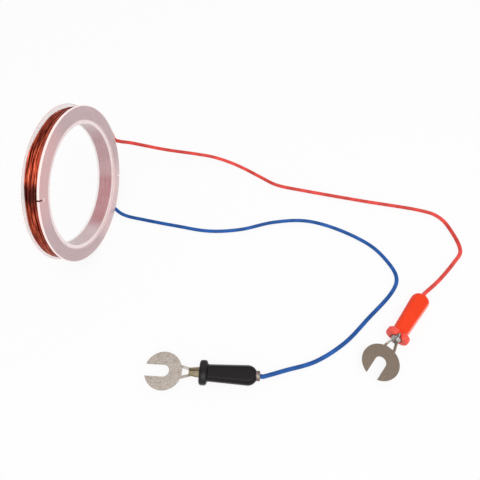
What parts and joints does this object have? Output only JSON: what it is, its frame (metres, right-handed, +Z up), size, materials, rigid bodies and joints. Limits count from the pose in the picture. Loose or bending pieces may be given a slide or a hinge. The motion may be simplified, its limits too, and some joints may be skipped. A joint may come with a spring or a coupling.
{
  "type": "demonstration coil",
  "caption": "Demonstration coil of enamelled copper wire on a clear ring bobbin, with red and blue leads that end in fork plugs.",
  "frame": {"origin": "on the table under the middle of the upright bobbin", "axes": "+X along the coil's axis towards the leads' plugs, +Z up, +Y to the side where the leads leave the coil"},
  "size_m": [0.1649, 0.1145, 0.06],
  "materials": {
    "clear_plastic": "clear, satin",
    "enamelled_copper": "enamelled",
    "bare_copper": "bright strands",
    "solder": "dull bright",
    "red_sheath": "satin PVC",
    "blue_sheath": "satin PVC",
    "red_plastic": "satin",
    "black_plastic": "satin",
    "plated_steel": "tin plate, worn",
    "dull_metal": "dull"
  },
  "bodies": {
    "root": {"core_tube": "clear_plastic", "front_flange": "clear_plastic", "rear_flange": "clear_plastic", "winding_inner": "enamelled_copper", "winding_outer": "enamelled_copper", "start_tail": "enamelled_copper", "red_joint": "solder", "blue_joint": "solder", "red_bare_end": "bare_copper", "blue_bare_end": "bare_copper", "red_lead": "red_sheath", "blue_lead": "blue_sheath", "red_handle": "red_plastic", "black_handle": "black_plastic", "red_fork": "plated_steel", "black_fork": "plated_steel", "red_ferrule": "red_plastic", "black_ferrule": "dull_metal", "red_conductor": "bare_copper", "black_conductor": "bare_copper"}
  },
  "joints": []
}
